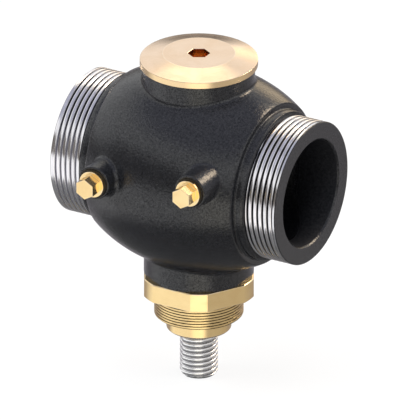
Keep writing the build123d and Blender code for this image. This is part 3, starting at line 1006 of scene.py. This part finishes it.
head_mesh = thread_mesh(
    "stem_head_thread",
    facing_down(head_high.z),
    stem_thread_finish,
    Crest_Radius=head_crest,
    Depth=head_depth,
    Pitch=head_pitch,
    Length=head_high.z - head_low.z,
    Core_Radius=head_core,
    Crest_Share=0.5,
    Crown=0.12 * MM,
    Lead_In=head_lead,
    Lead_Out=head_lead,
    End_Drop=head_depth,
    Around=96,
    Along=200,
)
head_core_corners = [
    (head_bore, head_high.z),
    (head_core, head_high.z),
    (head_core, head_low.z),
    (0.0, head_low.z),
    (0.0, head_high.z - head_bore_depth),
    (head_bore, head_high.z - head_bore_depth),
]
core_mesh = turned_mesh("stem_head_core", head_core_corners, 0.0, upright(), 96)
join_meshes(head_mesh, core_mesh)
add_piece("stem_head_thread", head_mesh, stem_thread_finish, "stem", "bright_steel", "stem_head")


# Finishes of the pieces inside, which keep their CAD shape

inner_finishes = {
    stainless_finish: (
        "seat_ring",
        "stem",
        "cone",
        "cone_washer",
        "cone_nut",
        "packing_washer",
        "upper_disc_spring",
        "lower_disc_spring",
    ),
    rubber_finish: (
        "top_plug_seal",
        "bonnet_seal",
        "gland_seal",
        "wiper_ring",
        "cone_seal",
        "inlet_test_seal",
        "outlet_test_seal",
    ),
    packing_finish: ("stem_bush", "packing_ring_1", "packing_ring_2", "packing_ring_3"),
}
for finish, names in inner_finishes.items():
    for name in names:
        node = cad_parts[name]
        node.data.materials.clear()
        node.data.materials.append(finish)


# Studio

photo_scale = 2.469e3
photo_width, photo_height = 402, 420
photo_stem = Vector((198.9, 166.1))
view_azimuth, view_elevation = 30, 25


def direction(azimuth, elevation=0.0):
    """A unit vector; azimuth 0 is the front of the valve and 90 degrees its outlet."""
    turn, rise = radians(azimuth), radians(elevation)
    return Vector((sin(turn) * cos(rise), -cos(turn) * cos(rise), sin(rise)))


view_back = direction(view_azimuth, view_elevation)
view_right = direction(view_azimuth + 90)
view_up = view_back.cross(view_right)


def make_camera():
    """A far camera with parallel rays, at the photograph's angle and scale."""
    data = bpy.data.cameras.new("camera")
    data.type = "ORTHO"
    data.ortho_scale = max(photo_width, photo_height) / photo_scale
    data.clip_start = 0.01
    data.clip_end = 10
    camera = bpy.data.objects.new("camera", data)
    bpy.context.scene.collection.objects.link(camera)
    aside = (photo_width / 2 - photo_stem.x) / photo_scale
    below = (photo_height / 2 - photo_stem.y) / photo_scale
    target = Vector((stem_x, 0, 0)) + view_right * aside - view_up * below
    camera.rotation_mode = "QUATERNION"
    camera.rotation_quaternion = (-view_back).to_track_quat("-Z", "Y")
    camera.location = target + view_back * 1.0
    bpy.context.scene.camera = camera


def towards(tree, vector, azimuth, elevation=0.0):
    """How far a vector points in a direction."""
    return work_on(tree, "DOT_PRODUCT", vector, direction(azimuth, elevation))


def mask(tree, *shares):
    """Several shares multiplied."""
    whole = shares[0]
    for share in shares[1:]:
        whole = calc(tree, "MULTIPLY", whole, share)
    return whole


white = (1, 1, 1, 1)
horizon_shade = (0.17, 0.15, 0.13, 1)


def sees_backdrop(tree):
    """Two shares: rays that see the backdrop straight or through something clear, and glossy rays."""
    rays = place(tree, "ShaderNodeLightPath").outputs
    straight = calc(tree, "MAXIMUM", rays["Is Camera Ray"], rays["Is Transmission Ray"])
    return straight, rays["Is Glossy Ray"]


floor_paper = (0.82, 0.82, 0.82, 1)
# Painted shadow, painted shade and a painted bright beam that only gloss sees on the floor
floor_gloss_shadow = (0.055, 0.058, 0.06, 1)
floor_gloss_shade = (0.30, 0.28, 0.31, 1)
floor_gloss_right_shade = (0.42, 0.40, 0.38, 1)
floor_gloss_beam = (1.45, 1.40, 1.25, 1)
ceiling_grey = (0.45, 0.46, 0.55, 1)
screen_grey = (0.16, 0.145, 0.13, 1)
window_light = (1.7, 1.6, 1.35, 1)
warm_light = (2.3, 1.85, 1.3, 1)


def make_floor():
    """A white floor just under the stem head: it keeps a soft shadow and is clear from below.

    Gloss sees painted reflections on it: a painted shadow where rays go down steeply, and painted shade in
    several greys and a painted bright beam where they run along it.
    """
    half = 3.0
    level = cad_low.z - 0.3 * MM
    mesh = bpy.data.meshes.new("floor")
    mesh.from_pydata(
        [(-half, -half, level), (half, -half, level), (half, half, level), (-half, half, level)],
        [],
        [(0, 1, 2, 3)],
    )
    floor = bpy.data.objects.new("floor", mesh)
    bpy.context.scene.collection.objects.link(floor)
    finish, tree, shader, where = start_finish("white_floor")
    tree.nodes.remove(shader)
    local = about(tree, where, (stem_x, 0, level))
    unit = work_on(tree, "NORMALIZE", local)
    far_off = pull(tree, work_on(tree, "LENGTH", local), 0.6, 1.2)
    # Painted reflections: shade and a bright beam along the floor, and a painted shadow where rays go down
    # steeply
    front = pull(tree, towards(tree, unit, -10), 0.25, 0.6)
    beam = pull(tree, towards(tree, unit, 30), 0.90, 0.97)
    right = pull(tree, towards(tree, unit, 95), 0.60, 0.90)
    edge = blend_colour(tree, front, floor_gloss_shade, white)
    edge = blend_colour(tree, beam, edge, floor_gloss_beam)
    edge = blend_colour(tree, right, edge, floor_gloss_right_shade)
    edge = blend_colour(tree, far_off, edge, horizon_shade)
    slant = place(tree, "ShaderNodeLayerWeight").outputs["Facing"]
    mirrored = blend_colour(tree, pull(tree, slant, 0.31, 0.36), floor_gloss_shadow, edge)
    straight, glossy = sees_backdrop(tree)
    diffuse = place(tree, "ShaderNodeBsdfDiffuse")
    diffuse.inputs["Color"].default_value = floor_paper
    glow = place(tree, "ShaderNodeEmission")
    feed(tree, glow.inputs["Color"], blend_colour(tree, glossy, white, mirrored))
    mix = place(tree, "ShaderNodeMixShader")
    share = calc(tree, "MAXIMUM", calc(tree, "MULTIPLY", straight, 0.86), calc(tree, "MULTIPLY", glossy, 0.9))
    feed(tree, mix.inputs[0], share)
    tree.links.new(diffuse.outputs[0], mix.inputs[1])
    tree.links.new(glow.outputs[0], mix.inputs[2])
    clear = place(tree, "ShaderNodeMixShader")
    feed(tree, clear.inputs[0], place(tree, "ShaderNodeNewGeometry").outputs["Backfacing"])
    tree.links.new(mix.outputs[0], clear.inputs[1])
    tree.links.new(place(tree, "ShaderNodeBsdfTransparent").outputs[0], clear.inputs[2])
    tree.links.new(clear.outputs[0], tree.nodes["Material Output"].inputs[0])
    mesh.materials.append(finish)
    floor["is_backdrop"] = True


def make_world():
    """White behind the valve; gloss sees a white room with a grey ceiling, a window, a dark screen
    and a warm glow.
    """
    world = bpy.data.worlds.new("studio")
    bpy.context.scene.world = world
    world.use_nodes = True
    tree = world.node_tree
    tree.nodes.clear()
    where = tree.nodes.new("ShaderNodeTexCoord").outputs["Generated"]
    rise = split(tree, where)[2]
    room = blend_colour(tree, pull(tree, rise, 0.0, 0.16), horizon_shade, white)
    room = blend_colour(tree, pull(tree, rise, 0.62, 0.72), room, ceiling_grey)
    bright_window = pull(tree, towards(tree, where, 212, 50), 0.96, 0.985)
    room = blend_colour(tree, bright_window, room, window_light)
    dark_screen = mask(
        tree,
        pull(tree, towards(tree, where, -32), 0.70, 0.90),
        pull(tree, rise, -0.02, 0.03),
        pull(tree, rise, 0.32, 0.42, 1.0, 0.0),
    )
    room = blend_colour(tree, dark_screen, room, screen_grey)
    warm_glow = pull(tree, towards(tree, where, 186, 13), 0.955, 0.99)
    room = blend_colour(tree, warm_glow, room, warm_light)
    straight, glossy = sees_backdrop(tree)
    colour = blend_colour(tree, straight, room, white)
    back = place(tree, "ShaderNodeBackground")
    feed(tree, back.inputs["Color"], colour)
    full = calc(tree, "MAXIMUM", straight, glossy)
    feed(tree, back.inputs["Strength"], pull(tree, full, 0.0, 1.0, 0.5, 1.0))
    output = place(tree, "ShaderNodeOutputWorld")
    tree.links.new(back.outputs[0], output.inputs[0])


def soft_box(name, azimuth, elevation, distance, size, power, colour=(1, 1, 1), mirrored=False):
    """A rectangular lamp that faces the valve; only a mirrored one shows in gloss."""
    data = bpy.data.lights.new(name, "AREA")
    data.shape = "RECTANGLE"
    data.size, data.size_y = size
    data.energy = power
    data.color = colour
    lamp = bpy.data.objects.new(name, data)
    bpy.context.scene.collection.objects.link(lamp)
    back = direction(azimuth, elevation)
    lamp.location = Vector((stem_x, 0, 0)) + back * distance
    lamp.rotation_mode = "QUATERNION"
    lamp.rotation_quaternion = (-back).to_track_quat("-Z", "Y")
    lamp.visible_glossy = mirrored


make_camera()
make_floor()
make_world()
soft_box("ceiling_box", azimuth=0, elevation=85, distance=0.7, size=(0.7, 0.7), power=5.0)
soft_box("left_box", azimuth=-55, elevation=35, distance=0.7, size=(0.35, 0.6), power=5.0)
soft_box("right_box", azimuth=100, elevation=30, distance=0.8, size=(0.3, 0.6), power=3.5)
soft_box("warm_box", 146, 36, 0.8, (0.3, 0.3), 2.6, colour=(1.0, 0.80, 0.58), mirrored=True)

bpy.context.scene.view_settings.view_transform = "Standard"
low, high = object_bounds()
